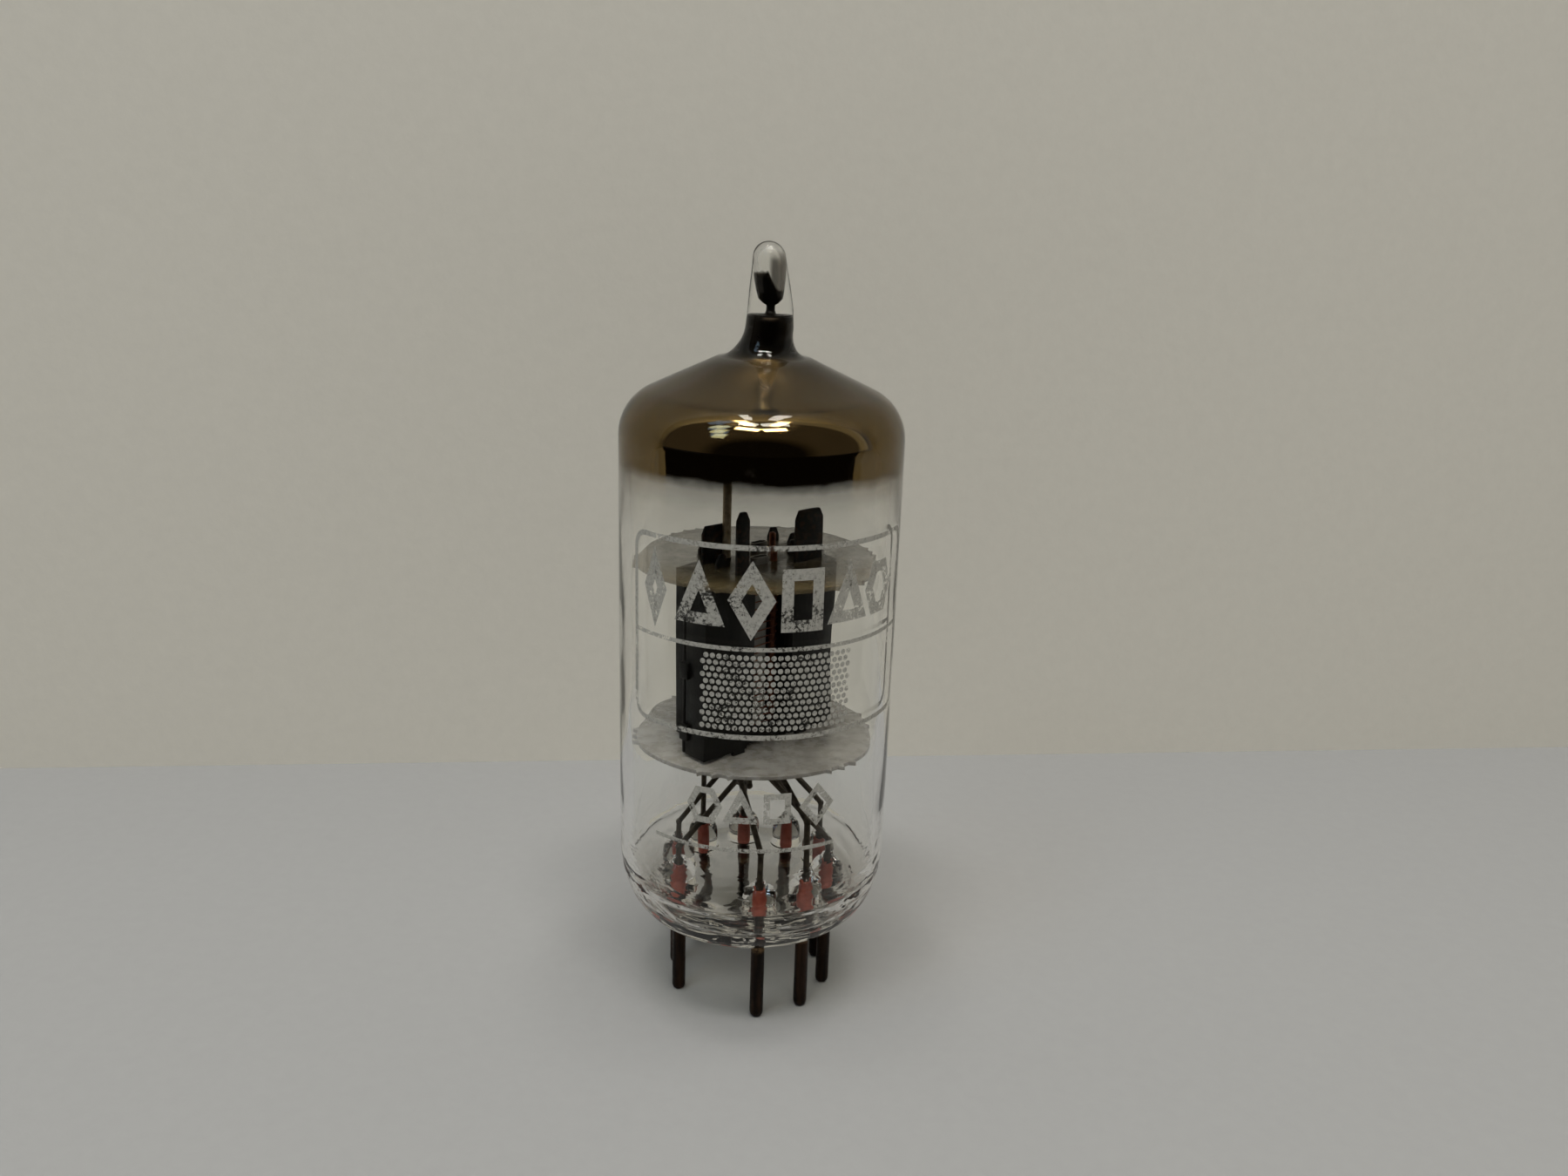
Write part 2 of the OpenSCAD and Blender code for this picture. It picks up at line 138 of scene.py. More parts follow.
# The tip bends over at the neck and comes a little back further up.
LEAN = 0.36
LEAN_FROM, LEAN_TO = NECK_Z - 0.6, NECK_Z + 2.0
LEAN_BACK = 0.2
BACK_FROM, BACK_TO = NECK_Z + 3.0, NECK_Z + 7.0


# ---------------------------------------------------------------- mesh helpers


def arc(centre, rx, rz, start, end, steps=12):
    """Points along part of an ellipse, with its angles in degrees."""
    turns = [math.radians(start + (end - start) * i / steps) for i in range(steps + 1)]
    return [(centre[0] + rx * math.cos(t), centre[1] + rz * math.sin(t)) for t in turns]


def share(value, low, high):
    """How far a value is from low to high, held between 0 and 1."""
    return min(max((value - low) / (high - low), 0), 1)


def lean(z):
    """Sideways lean of the drawn-off tip at a height."""
    over = share(z, LEAN_FROM, LEAN_TO)
    return LEAN * over * over * (3 - 2 * over) - LEAN_BACK * share(z, BACK_FROM, BACK_TO)


def ring(bm, r, z, count, centre=(0, 0)):
    """A ring of vertices round an upright axis."""
    turns = [math.tau * k / count for k in range(count)]
    x = centre[0] + lean(z)
    return [bm.verts.new((x + r * math.cos(t), centre[1] + r * math.sin(t), z)) for t in turns]


def bridge(bm, low, high):
    """Quads between two rings with the same number of vertices."""
    count = len(low)
    for k in range(count):
        bm.faces.new((low[k], low[(k + 1) % count], high[(k + 1) % count], high[k]))


def fan(bm, loop, tip):
    """Triangles between a ring and one point."""
    for k in range(len(loop)):
        bm.faces.new((loop[k], loop[(k + 1) % len(loop)], tip))


def turned(bm, profile, count, centre=(0, 0), first=None):
    """Turns a profile round an upright axis, on from a first ring if given.

    A point on the axis closes that end.
    """
    last = first
    for r, z in profile:
        if r == 0:
            tip = bm.verts.new((centre[0] + lean(z), centre[1], z))
            if last is None:
                last = tip
            else:
                fan(bm, last, tip)
            continue
        here = ring(bm, r, z, count, centre)
        if isinstance(last, bmesh.types.BMVert):
            fan(bm, here, last)
        elif last is not None:
            bridge(bm, last, here)
        last = here


def new_object(name, bm, material, body="root", smooth=True):
    """Makes an object from a bmesh in millimetres, riding on a body if one is named."""
    bm.verts.ensure_lookup_table()
    for vert in bm.verts:
        vert.co *= MM
    mesh = bpy.data.meshes.new(name)
    bm.to_mesh(mesh)
    bm.free()
    for face in mesh.polygons:
        face.use_smooth = smooth
    mesh.materials.append(material)
    piece = bpy.data.objects.new(name, mesh)
    bpy.context.scene.collection.objects.link(piece)
    if body:
        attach(piece, body)
    return piece


def sweep(bm, points, radius, sides):
    """A round wire along a list of points, with flat ends."""
    points = [Vector(p) for p in points]
    rings = []
    side = None
    for i, point in enumerate(points):
        before = points[max(i - 1, 0)]
        after = points[min(i + 1, len(points) - 1)]
        along = (after - before).normalized()
        if side is None:
            side = along.orthogonal().normalized()
        side = (side - along * side.dot(along)).normalized()
        other = along.cross(side)
        turns = [math.tau * k / sides for k in range(sides)]
        spokes = [radius * (math.cos(t) * side + math.sin(t) * other) for t in turns]
        rings.append([bm.verts.new(point + spoke) for spoke in spokes])
    for low, high in zip(rings, rings[1:]):
        bridge(bm, low, high)
    bm.faces.new(list(reversed(rings[0])))
    bm.faces.new(rings[-1])


WELD = 0.001
FLAT_ANGLE = math.radians(0.6)
SHARP_ANGLE = math.radians(28)
CREASE_ANGLE = math.radians(50)


def refined(name, material, bevel):
    """A copy of a sheet-metal or mica node with its sharp edges eased, standing for the CAD node."""
    source = NODES[name].data
    bm = bmesh.new()
    verts = [bm.verts.new(v.co / MM) for v in source.vertices]
    for polygon in source.polygons:
        bm.faces.new([verts[i] for i in polygon.vertices])
    bmesh.ops.remove_doubles(bm, verts=bm.verts, dist=WELD)
    bmesh.ops.dissolve_limit(bm, angle_limit=FLAT_ANGLE, verts=bm.verts, edges=bm.edges)
    sharp = [e for e in bm.edges if len(e.link_faces) == 2 and e.calc_face_angle() > SHARP_ANGLE]
    bmesh.ops.bevel(
        bm, geom=sharp, offset=bevel, segments=2, profile=0.5, affect="EDGES", clamp_overlap=True)
    piece = new_object(name + "_piece", bm, material)
    piece.data.set_sharp_from_angle(angle=CREASE_ANGLE)
    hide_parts(name)


# ---------------------------------------------------------------- material helpers


class Nodes:
    """The node tree of a material or a world, with short calls to add and link nodes."""

    def __init__(self, owner):
        owner.use_nodes = True
        self.tree = owner.node_tree
        self.tree.nodes.clear()

    def add(self, kind, sockets=None, **settings):
        """A new node. A socket's value is another node's output, to link, or a constant."""
        node = self.tree.nodes.new(kind)
        for key, value in settings.items():
            setattr(node, key, value)
        for key, value in (sockets or {}).items():
            if isinstance(value, bpy.types.NodeSocket):
                self.tree.links.new(value, node.inputs[key])
            else:
                node.inputs[key].default_value = value
        return node

    def span(self, value, low, high):
        """0 where a value is low and 1 where it is high."""
        return self.add("ShaderNodeMapRange", {
            "Value": value, "From Min": low, "From Max": high}).outputs["Result"]

    def join(self, share_of_b, a, b):
        """A shader between a and b."""
        return self.add("ShaderNodeMixShader", {0: share_of_b, 1: a, 2: b}).outputs["Shader"]


class Shader(Nodes):
    """A material, with its patterns measured on the object."""

    def __init__(self, name):
        self.material = bpy.data.materials.new(name)
        super().__init__(self.material)
        self.output = self.add("ShaderNodeOutputMaterial")
        self.place = self.add("ShaderNodeTexCoord").outputs["Object"]

    def noise(self, size, detail=4, rough=0.6, stretch=(1, 1, 1), shift=0, distortion=0):
        """Noise with features about size millimetres across, from 0 to 1."""
        place = self.add("ShaderNodeMapping", {
            "Vector": self.place, "Scale": stretch, "Location": (shift, shift, 0)}).outputs["Vector"]
        return self.add("ShaderNodeTexNoise", {
            "Vector": place, "Scale": 1 / (size * MM), "Detail": detail, "Roughness": rough,
            "Distortion": distortion}).outputs["Fac"]

    def ramp(self, value, *stops):
        """A number that follows stops of (position, number)."""
        node = self.add("ShaderNodeValToRGB", {"Fac": value})
        marks = node.color_ramp.elements
        while len(marks) < len(stops):
            marks.new(0.5)
        for mark, (position, number) in zip(marks, stops):
            mark.position = position
            mark.color = (number, number, number, 1)
        return node.outputs["Color"]

    def along(self, axis, low, high):
        """0 at low and 1 at high along the axis X, Y or Z, in millimetres."""
        parts = self.add("ShaderNodeSeparateXYZ", {"Vector": self.place}).outputs
        return self.span(parts[axis], low * MM, high * MM)

    def height(self, low, high):
        """0 at the height low and 1 at high, in millimetres."""
        return self.along("Z", low, high)

    def radius(self):
        """Distance from the tube's axis, as a share of the bulb's radius."""
        flat = self.add("ShaderNodeVectorMath", {0: self.place, 1: (1, 1, 0)}, operation="MULTIPLY")
        length = self.add("ShaderNodeVectorMath", {0: flat.outputs["Vector"]}, operation="LENGTH")
        return self.math("DIVIDE", length.outputs["Value"], BULB_R * MM)

    def math(self, operation, a, b, clamp=False):
        node = self.add("ShaderNodeMath", {0: a, 1: b}, operation=operation, use_clamp=clamp)
        return node.outputs["Value"]

    def around(self, noise, amount):
        """A noise moved to lie round 0, and scaled."""
        return self.math("MULTIPLY", self.math("SUBTRACT", noise, 0.5), amount)

    def mix(self, share_of_b, a, b):
        """A colour between a and b."""
        node = self.add("ShaderNodeMix", {"Factor": share_of_b}, data_type="RGBA")
        for socket, value in zip((node.inputs[6], node.inputs[7]), (a, b)):
            if isinstance(value, bpy.types.NodeSocket):
                self.tree.links.new(value, socket)
            else:
                socket.default_value = (*value, 1)
        return node.outputs[2]

    def bump(self, height, distance, strength=1.0, over=None):
        """A surface raised by distance millimetres where height is 1, over another bump if given."""
        sockets = {"Height": height, "Distance": distance * MM, "Strength": strength}
        if over:
            sockets["Normal"] = over
        return self.add("ShaderNodeBump", sockets).outputs["Normal"]

    def finish(self, shader):
        self.tree.links.new(shader, self.output.inputs["Surface"])
        return self.material

    def principled(self, **sockets):
        """The usual surface shader, with its sockets named with _ for spaces."""
        named = {key.replace("_", " "): value for key, value in sockets.items()}
        return self.add("ShaderNodeBsdfPrincipled", named).outputs["BSDF"]


def glass_material():
    """Clear glass, with striae in the heel, a brown tint near the base and a light shadow."""
    s = Shader("clear glass")
    wave = s.bump(s.noise(5.0, detail=1, stretch=(1, 1, 0.5)), 0.12)
    striae = s.noise(4.0, detail=2, stretch=(1, 1, 3.0), shift=0.02, distortion=0.5)
    near_base = s.height(WALL_Z + 3, BASE_Z + 1)
    heel = s.ramp(s.radius(), ((BUTTON_R - 0.2) / BULB_R, 0.0), ((BUTTON_R + 0.8) / BULB_R, 1.0))
    wavy = s.bump(s.math("MULTIPLY", striae, s.math("MULTIPLY", near_base, heel)), 0.2, over=wave)
    dust = s.ramp(s.noise(0.35, detail=6), (0.62, 0.0), (0.8, 0.12))
    tint = s.mix(near_base, (0.985, 0.987, 0.975), (0.87, 0.85, 0.80))
    # The specular tint, well under white, dims the glass's reflections: painted shade on them, for the dark
    # room in front of the tube.
    glass = s.principled(
        Base_Color=tint, Transmission_Weight=1.0, IOR=1.5, Roughness=dust,
        Specular_Tint=(0.45, 0.44, 0.42, 1), Normal=wavy)
    lets_light = s.add("ShaderNodeBsdfTransparent", {"Color": (0.68, 0.685, 0.67, 1)}).outputs["BSDF"]
    shadow = s.add("ShaderNodeLightPath").outputs["Is Shadow Ray"]
    return s.finish(s.join(shadow, glass, lets_light))


FILM_LOW = SHOULDER_Z - 6.1
FILM_FULL = SHOULDER_Z - 1.35


def film_material():
    """A brown mirror that thins out down the wall and darkens up the crown; into the neck it is painted
    near black, a painted dark reflection.
    """
    s = Shader("barium film")
    level = s.height(FILM_LOW, FILM_FULL)
    ragged = s.math("ADD", level, s.around(s.noise(2.5, detail=3), 0.16))
    density = s.ramp(ragged, (0.0, 0.0), (0.5, 0.08), (0.8, 0.24), (0.93, 0.6), (0.99, 0.99))
    cloud = s.noise(3.0, detail=4, distortion=0.6)
    up_crown = s.height(SHOULDER_Z + 1.5, NECK_Z - 1.6)
    neck_painted_dark = s.height(NECK_Z - 2.2, NECK_Z + 0.2)
    colour = s.mix(cloud, (0.165, 0.108, 0.040), (0.22, 0.148, 0.058))
    colour = s.mix(up_crown, colour, (0.075, 0.048, 0.018))
    # Near black into the neck: a painted dark reflection, where the neck and bore mirror the dark room.
    colour = s.mix(neck_painted_dark, colour, (0.012, 0.009, 0.006))
    dull = s.math("MULTIPLY", s.height(NECK_Z - 3.6, NECK_Z - 1.2), 0.3)
    roughness = s.math("MAXIMUM", dull, s.ramp(cloud, (0.3, 0.02), (0.8, 0.07)))
    return s.finish(s.principled(Base_Color=colour, Metallic=1.0, Roughness=roughness, Alpha=density))


def tip_film_material():
    """Black low in the pocket, smoky up its right side and clear at its upper left."""
    s = Shader("tip film")
    level = s.math("ADD", s.height(POCKET_Z, POCKET_TOP), s.around(s.noise(0.8, detail=3), 0.2))
    right = s.along("X", 0.1, 0.75)
    black = s.ramp(s.math("ADD", level, s.math("MULTIPLY", right, 0.28)), (0.5, 0.995), (0.56, 0.0))
    smoke = s.ramp(right, (0.1, 0.0), (0.6, 0.36))
    smoke = s.math("MULTIPLY", smoke, s.ramp(level, (0.72, 1.0), (0.92, 0.0)))
    colour = s.mix(black, (0.13, 0.10, 0.06), (0.010, 0.008, 0.006))
    density = s.math("MAXIMUM", black, smoke)
    return s.finish(s.principled(Base_Color=colour, Metallic=0.7, Roughness=0.12, Alpha=density))


def print_material():
    """Pale ink, worn through in grains and patches."""
    s = Shader("worn white print")
    grain = s.noise(0.24, detail=5, rough=0.75)
    patches = s.noise(2.4, detail=3, shift=0.01)
    worn = s.math("ADD", grain, s.around(patches, 0.75))
    cover = s.ramp(worn, (0.37, 0.03), (0.46, 0.75), (0.6, 0.95))
    colour = s.mix(grain, (0.36, 0.35, 0.31), (0.60, 0.59, 0.54))
    relief = s.bump(grain, 0.02)
    return s.finish(s.principled(Base_Color=colour, Roughness=0.75, Alpha=cover, Normal=relief))


def mica_material(name, dark, light, cover_low, cover_high, shift):
    """Cloudy, flaky mica that lets some light through: cover is how little."""
    s = Shader(name)
    cloud = s.noise(3.2, detail=6, rough=0.65, shift=shift, distortion=0.8)
    flakes = s.noise(1.1, detail=6, rough=0.7, stretch=(1, 1.2, 1), shift=shift)
    streaks = s.noise(0.5, detail=3, stretch=(0.15, 2.0, 1), shift=shift + 0.02, distortion=1.2)
    tone = s.mix(cloud, dark, light)
    tone = s.mix(s.ramp(flakes, (0.42, 0.0), (0.72, 0.65)), tone, light)
    darkest = tuple(c * 0.6 for c in dark)
    tone = s.mix(s.ramp(streaks, (0.6, 0.0), (0.64, 0.3), (0.68, 0.0)), tone, darkest)
    cover = s.ramp(cloud, (0.3, cover_low), (0.7, cover_high))
    return s.finish(s.principled(
        Base_Color=tone, Roughness=s.ramp(flakes, (0.3, 0.14), (0.7, 0.42)), Alpha=cover,
        Coat_Weight=0.5, Coat_Roughness=0.12, Normal=s.bump(flakes, 0.02)))


def anode_material():
    """Matt black sheet, flaking to brown on the fins above the upper mica."""
    s = Shader("carbonised nickel")
    mottle = s.noise(1.6, detail=6, rough=0.65)
    grain = s.noise(0.12, detail=3)
    rolled = s.noise(0.35, detail=2, stretch=(1, 1, 0.06))
    dark = s.mix(mottle, (0.003, 0.0025, 0.002), (0.010, 0.009, 0.007))
    tone = s.mix(s.ramp(rolled, (0.45, 0.0), (0.7, 0.5)), dark, (0.014, 0.013, 0.010))
    flakes = s.ramp(s.noise(0.55, detail=6, rough=0.75, shift=0.03), (0.5, 0.0), (0.62, 0.55))
    above = s.math("MULTIPLY", s.height(UP_MICA_TOP - 0.5, UP_MICA_TOP + 0.8), flakes, clamp=True)
    tone = s.mix(above, tone, (0.085, 0.036, 0.014))
    return s.finish(s.principled(
        Base_Color=tone, Roughness=s.ramp(mottle, (0.3, 0.4), (0.7, 0.65)), Specular_IOR_Level=0.3,
        Normal=s.bump(grain, 0.02)))


def pin_material():
    """Dark brown oxide, rubbed bright in a band below the glass."""
    s = Shader("oxidised pin")
    streak = s.noise(0.5, detail=5, stretch=(1, 1, 0.12))
    spots = s.noise(0.3, detail=5, rough=0.7, shift=0.05)
    tone = s.mix(s.ramp(streak, (0.4, 0.0), (0.8, 1.0)), (0.006, 0.003, 0.0015), (0.045, 0.021, 0.009))
    band = s.ramp(s.height(BASE_Z - 2.2, BASE_Z), (0.35, 0.0), (0.48, 0.75), (0.62, 0.75), (0.75, 0.0))
    worn = s.math("MULTIPLY", band, s.ramp(spots, (0.4, 0.1), (0.6, 1.0)))
    tone = s.mix(worn, tone, (0.20, 0.125, 0.06))
    return s.finish(s.principled(
        Base_Color=tone, Metallic=0.6, Roughness=s.ramp(spots, (0.3, 0.32), (0.7, 0.6)),
        Specular_IOR_Level=0.25, Normal=s.bump(spots, 0.03)))


def metal_material(name, dark, light, roughness, size=0.6, metallic=0.8):
    """A dull drawn metal, with its tone and polish varying along it."""
    s = Shader(name)
    patches = s.noise(size, detail=5, rough=0.65)
    tone = s.mix(s.ramp(patches, (0.3, 0.0), (0.7, 1.0)), dark, light)
    return s.finish(s.principled(
        Base_Color=tone, Metallic=metallic, Normal=s.bump(s.noise(0.1, detail=2), 0.02),
        Roughness=s.ramp(patches, (0.3, roughness), (0.8, roughness + 0.2))))


def cathode_material():
    """A nickel sleeve with its oxide coat between the micas, the coat painted a darker grey as painted
    shade.
    """
    s = Shader("coated cathode")
    coat = s.ramp(s.height(LOW_MICA_TOP, UP_MICA), (0.07, 0.0), (0.075, 1.0), (0.925, 1.0), (0.93, 0.0))
    grain = s.noise(0.15, detail=4)
    nickel = s.mix(grain, (0.20, 0.19, 0.17), (0.38, 0.36, 0.33))
    # The coat's greys are darker than a bare oxide coat: painted shade, for the cathode deep inside its
    # grid and anode.
    oxide = s.mix(grain, (0.20, 0.19, 0.17), (0.32, 0.31, 0.28))
    return s.finish(s.principled(
        Base_Color=s.mix(coat, nickel, oxide), Metallic=s.math("SUBTRACT", 1.0, coat),
        Roughness=s.ramp(coat, (0.0, 0.35), (1.0, 0.85)), Normal=s.bump(grain, 0.03)))


GLASS = glass_material()
FILM = film_material()
TIP_FILM = tip_film_material()
PRINT = print_material()
LOWER_MICA = mica_material("smoky mica", (0.16, 0.125, 0.08), (0.56, 0.535, 0.50), 0.62, 0.92, shift=0.0)
UPPER_MICA = mica_material("amber mica", (0.13, 0.092, 0.038), (0.27, 0.20, 0.10), 0.38, 0.66, shift=0.04)
ANODE = anode_material()
PIN = pin_material()
SEAL = metal_material("borated copper", (0.30, 0.055, 0.035), (0.55, 0.13, 0.085), 0.4, metallic=0.15)
LEAD = metal_material("dull nickel", (0.035, 0.028, 0.020), (0.11, 0.09, 0.065), 0.38)
COPPER = metal_material("grid copper", (0.11, 0.035, 0.018), (0.34, 0.12, 0.065), 0.35)
POST = metal_material("browned nickel", (0.20, 0.15, 0.09), (0.62, 0.50, 0.34), 0.4)
HEATER = metal_material(
    "alumina coating", (0.66, 0.65, 0.62), (0.84, 0.83, 0.80), 0.8, size=0.2, metallic=0.0)
CATHODE = cathode_material()


# ---------------------------------------------------------------- glass envelope

AROUND = 144
WALL_STEPS = 12

# The tip's foot, the points up its side and its round end.
TIP_FOOT = (1.68, NECK_Z + 1.5)
TIP_SIDES = [(1.58, NECK_Z + 2.8), (1.42, NECK_Z + 4.2), (1.24, NECK_Z + 5.4)]
TIP_END_R = 1.13
TIP_END_H = 1.12

# The groove where the base is sealed to the bulb.
SEAM_Z = FLOOR_Z + 1.8
SEAM_W = 0.22
SEAM_DEPTH = 0.14

# The cavity's floor, and the boss of glass that rises from it round each lead.
FLOOR_R = 7.6
GROOVE_W = 0.4
GROOVE_H = 0.45
BOSS_AROUND = 36
BOSS_R = 1.25
BOSS_FOOT_R = 1.5
BOSS_FOOT_H = 0.25
BELL_TOP_R = 0.42
COLLAR_R = 0.36
COLLAR_T = 0.13
COLLAR_H = 0.14


def straight_wall(depth):
    """The bulb's wall at a depth inside the outer face, without its two ends."""
    return [(BULB_R - depth, WALL_Z + (SHOULDER_Z - WALL_Z) * i / WALL_STEPS) for i in range(1, WALL_STEPS)]


def shoulder_and_crown(depth):
    """The bulb's profile above the wall, at a depth inside the outer face, up to the neck."""
    return arc((BULB_R - SHOULDER_R, SHOULDER_Z), SHOULDER_R - depth, SHOULDER_R - depth, 0, 65, 16)


def outer_profile():
    """The envelope's outer face, from the middle of the base to the end of the tip."""
    base = [(0, BASE_Z), (BUTTON_R - 0.9, BASE_Z)]
    heel = arc((BUTTON_R, WALL_Z), BULB_R - BUTTON_R, HEEL_H, -90, 0, 48)
    heel = [(r - SEAM_DEPTH * math.exp(-((z - SEAM_Z) / SEAM_W) ** 2), z) for r, z in heel]
    dome = shoulder_and_crown(0)
    crown_r, crown_z = dome[-1]
    step = (crown_r - NECK_R - 0.5) / 8
    slope = [(crown_r - i * step, crown_z + i * step * math.tan(CROWN_SLOPE)) for i in range(1, 8)]
    root_r, root_z = slope[-1]
    foot_r, foot_z = TIP_FOOT
    neck = arc((root_r, foot_z), foot_r - root_r, root_z - foot_z, 90, 0, 10)[1:]
    end = arc((0, TIP_TOP - TIP_END_H), TIP_END_R, TIP_END_H, 8, 90, 12)[:-1] + [(0, TIP_TOP)]
    return base + heel + straight_wall(0) + dome + slope + neck + TIP_SIDES + end


def bore_profile(inset=0.0):
    """The bore, capillary and end pocket of the tip, from the crown upwards, made wider by inset."""
    start_z = NECK_Z - GLASS_T / math.cos(CROWN_SLOPE) - 0.35
    throat = arc((BORE_R + THROAT_W, start_z + THROAT_H), THROAT_W, THROAT_H, 245, 180, 6)
    shut = arc((BORE_R - BORE_END_R, BORE_TOP - BORE_END_R), BORE_END_R, BORE_END_R, 0, 75, 6)
    neck = [(CAPILLARY_R + 0.06, BORE_TOP + 0.04), (CAPILLARY_R, BORE_TOP + 0.25), (CAPILLARY_R, POCKET_Z)]
    pocket = [(0.32, POCKET_Z + 0.14), (0.52, POCKET_Z + 0.42), (0.61, POCKET_Z + 0.95),
              (0.68, POCKET_Z + 1.6), (0.74, POCKET_Z + 2.4)]
    end = arc((0, POCKET_TOP - POCKET_END_H), POCKET_R, POCKET_END_H, 0, 84, 8)
    line = throat + shut + neck + pocket + end
    return [(r + inset, z) for r, z in line] + [(0, POCKET_TOP + inset)]


def inner_profile():
    """The cavity's profile above the floor's edge."""
    groove = arc((FLOOR_R + GROOVE_W, FLOOR_Z), GROOVE_W, GROOVE_H, 195, 325, 8)
    heel = arc((BUTTON_R, WALL_Z), BULB_R - BUTTON_R - GLASS_T, HEEL_H - GLASS_T, -52, 0, 14)
    return groove + heel + straight_wall(GLASS_T) + shoulder_and_crown(GLASS_T) + bore_profile()


def boss_profile():
    """Round the foot, up the bell and over the collar where the lead comes out."""
    rise = BOSS_TOP - FLOOR_Z
    foot = arc((BOSS_FOOT_R, FLOOR_Z + BOSS_FOOT_H), BOSS_FOOT_R - BOSS_R, BOSS_FOOT_H, 255, 180, 4)
    bell = arc((BELL_TOP_R, FLOOR_Z + rise * 0.4), BOSS_R - BELL_TOP_R, rise * 0.46, 0, 78, 8)
    collar = arc((COLLAR_R, BOSS_TOP - COLLAR_H), COLLAR_T, COLLAR_H, -20, 150, 6)
    return foot + bell + collar + [(0, BOSS_TOP - COLLAR_H - 0.01)]


def glass_floor(bm):
    """The cavity's flat floor with a glass boss for each lead. Returns the ring at the floor's edge."""
    edge = ring(bm, FLOOR_R, FLOOR_Z, AROUND)
    feet = [ring(bm, BOSS_FOOT_R, FLOOR_Z, BOSS_AROUND, place.xy) for place in PIN_PLACES]
    loops = [edge] + feet
    verts = [vert for loop in loops for vert in loop]
    number = {vert: i for i, vert in enumerate(verts)}
    edges = []
    for loop in loops:
        edges += [(number[a], number[b]) for a, b in zip(loop, loop[1:] + loop[:1])]
    faces = delaunay_2d_cdt([vert.co.xy for vert in verts], edges, [], 0, 1e-6)[2]
    for face in faces:
        corners = [verts[i] for i in face]
        middle = sum((vert.co for vert in corners), Vector()) / 3
        if all((middle.xy - place.xy).length > BOSS_FOOT_R for place in PIN_PLACES):
            bm.faces.new(corners)
    for foot, place in zip(feet, PIN_PLACES):
        turned(bm, boss_profile(), BOSS_AROUND, place.xy, foot)
    return edge


def make_glass():
    """One fused envelope: bulb, base with its bosses, and exhaust tip."""
    cavity = bmesh.new()
    turned(cavity, inner_profile(), AROUND, first=glass_floor(cavity))
    bmesh.ops.recalc_face_normals(cavity, faces=cavity.faces)
    bmesh.ops.reverse_faces(cavity, faces=cavity.faces)
    inside = bpy.data.meshes.new("cavity")
    cavity.to_mesh(inside)
    cavity.free()
    bm = bmesh.new()
    turned(bm, outer_profile(), AROUND)
    bmesh.ops.recalc_face_normals(bm, faces=bm.faces)
    bm.from_mesh(inside)
    bpy.data.meshes.remove(inside)
    glass = new_object("glass_envelope", bm, GLASS)
    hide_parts("glass_bulb", "stem_button", "exhaust_tip")


make_glass()


# ---------------------------------------------------------------- getter film

FILM_SKIN = 0.02
DOME_FILM_POINTS = 12
TIP_FILM_AROUND = 48


def shell(bm, outer, inner, count):
    """A closed thin skin between two profiles that start and end level with each other."""
    outline = outer + list(reversed(inner))
    rings = [ring(bm, r, z, count) for r, z in outline]
    for low, high in zip(rings, rings[1:] + rings[:1]):
        bridge(bm, low, high)


def dome_film_profile(depth, inset):
    """Up the wall, over the crown and into the tip's bore, up to its first few points."""
    wall = [(BULB_R - depth, FILM_LOW + (SHOULDER_Z - FILM_LOW) * i / 6) for i in range(6)]
    return wall + shoulder_and_crown(depth) + bore_profile(inset)[:DOME_FILM_POINTS]


def tip_film_profile(inset):
    """From where the dome's film ends up to the pocket's top, open on the axis."""
    return bore_profile(inset)[DOME_FILM_POINTS - 1:-1]


def make_films():
    """Both films lie in the glass, a hair short of its inner face."""
    bm = bmesh.new()
    outer = dome_film_profile(GLASS_T - 2 * FILM_SKIN, 2 * FILM_SKIN)
    inner = dome_film_profile(GLASS_T - FILM_SKIN, FILM_SKIN)
    shell(bm, outer, inner, AROUND)
    bmesh.ops.recalc_face_normals(bm, faces=bm.faces)
    film = new_object("getter_film_coat", bm, FILM)
    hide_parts("getter_film")
    bm = bmesh.new()
    shell(bm, tip_film_profile(2 * FILM_SKIN), tip_film_profile(FILM_SKIN), TIP_FILM_AROUND)
    bmesh.ops.recalc_face_normals(bm, faces=bm.faces)
    new_object("tip_film", bm, TIP_FILM)


make_films()


# ---------------------------------------------------------------- printed marks

PRINT_GAP = 0.006
PRINT_T = 0.014
PRINT_STEP = 0.4


def on_bulb(s, z, lift=0.0):
    """A point on the bulb's outer wall, s millimetres round it from the front."""
    r = BULB_R + PRINT_GAP + lift
    return Vector((r * math.sin(s / BULB_R), -r * math.cos(s / BULB_R), z))


def turn_mm(degrees):
    """The length round the bulb's wall of an angle from the front."""
    return math.radians(degrees) * BULB_R


def dense(points, closed):
    """The same line with no stretch longer than PRINT_STEP."""
    ends = points[1:] + points[:1] if closed else points[1:]
    line = []
    for a, b in zip(points, ends):
        steps = max(1, math.ceil((b - a).length / PRINT_STEP))
        line += [a.lerp(b, i / steps) for i in range(steps)]
    return line if closed else line + [points[-1]]


def stroke(bm, points, width, closed=False):
    """A printed line of even width, with mitred corners."""
    points = dense([Vector(p) for p in points], closed)
    count = len(points)
    rails = []
    for i, point in enumerate(points):
        before = points[(i - 1) % count] if closed or i else point
        after = points[(i + 1) % count] if closed or i < count - 1 else point
        into = (point - before).normalized() if before != point else (after - point).normalized()
        away = (after - point).normalized() if after != point else into
        side_in = Vector((-into.y, into.x))
        side_out = Vector((-away.y, away.x))
        mitre = (side_in + side_out) / (1 + side_in.dot(side_out)) * width / 2
        section = ((-1, 0), (1, 0), (1, PRINT_T), (-1, PRINT_T))
        rails.append([bm.verts.new(on_bulb(*(point + k * mitre), lift)) for k, lift in section])
    for low, high in zip(rails, rails[1:] + rails[:1] if closed else rails[1:]):
        bridge(bm, low, high)
    if not closed:
        bm.faces.new(rails[0])
        bm.faces.new(list(reversed(rails[-1])))


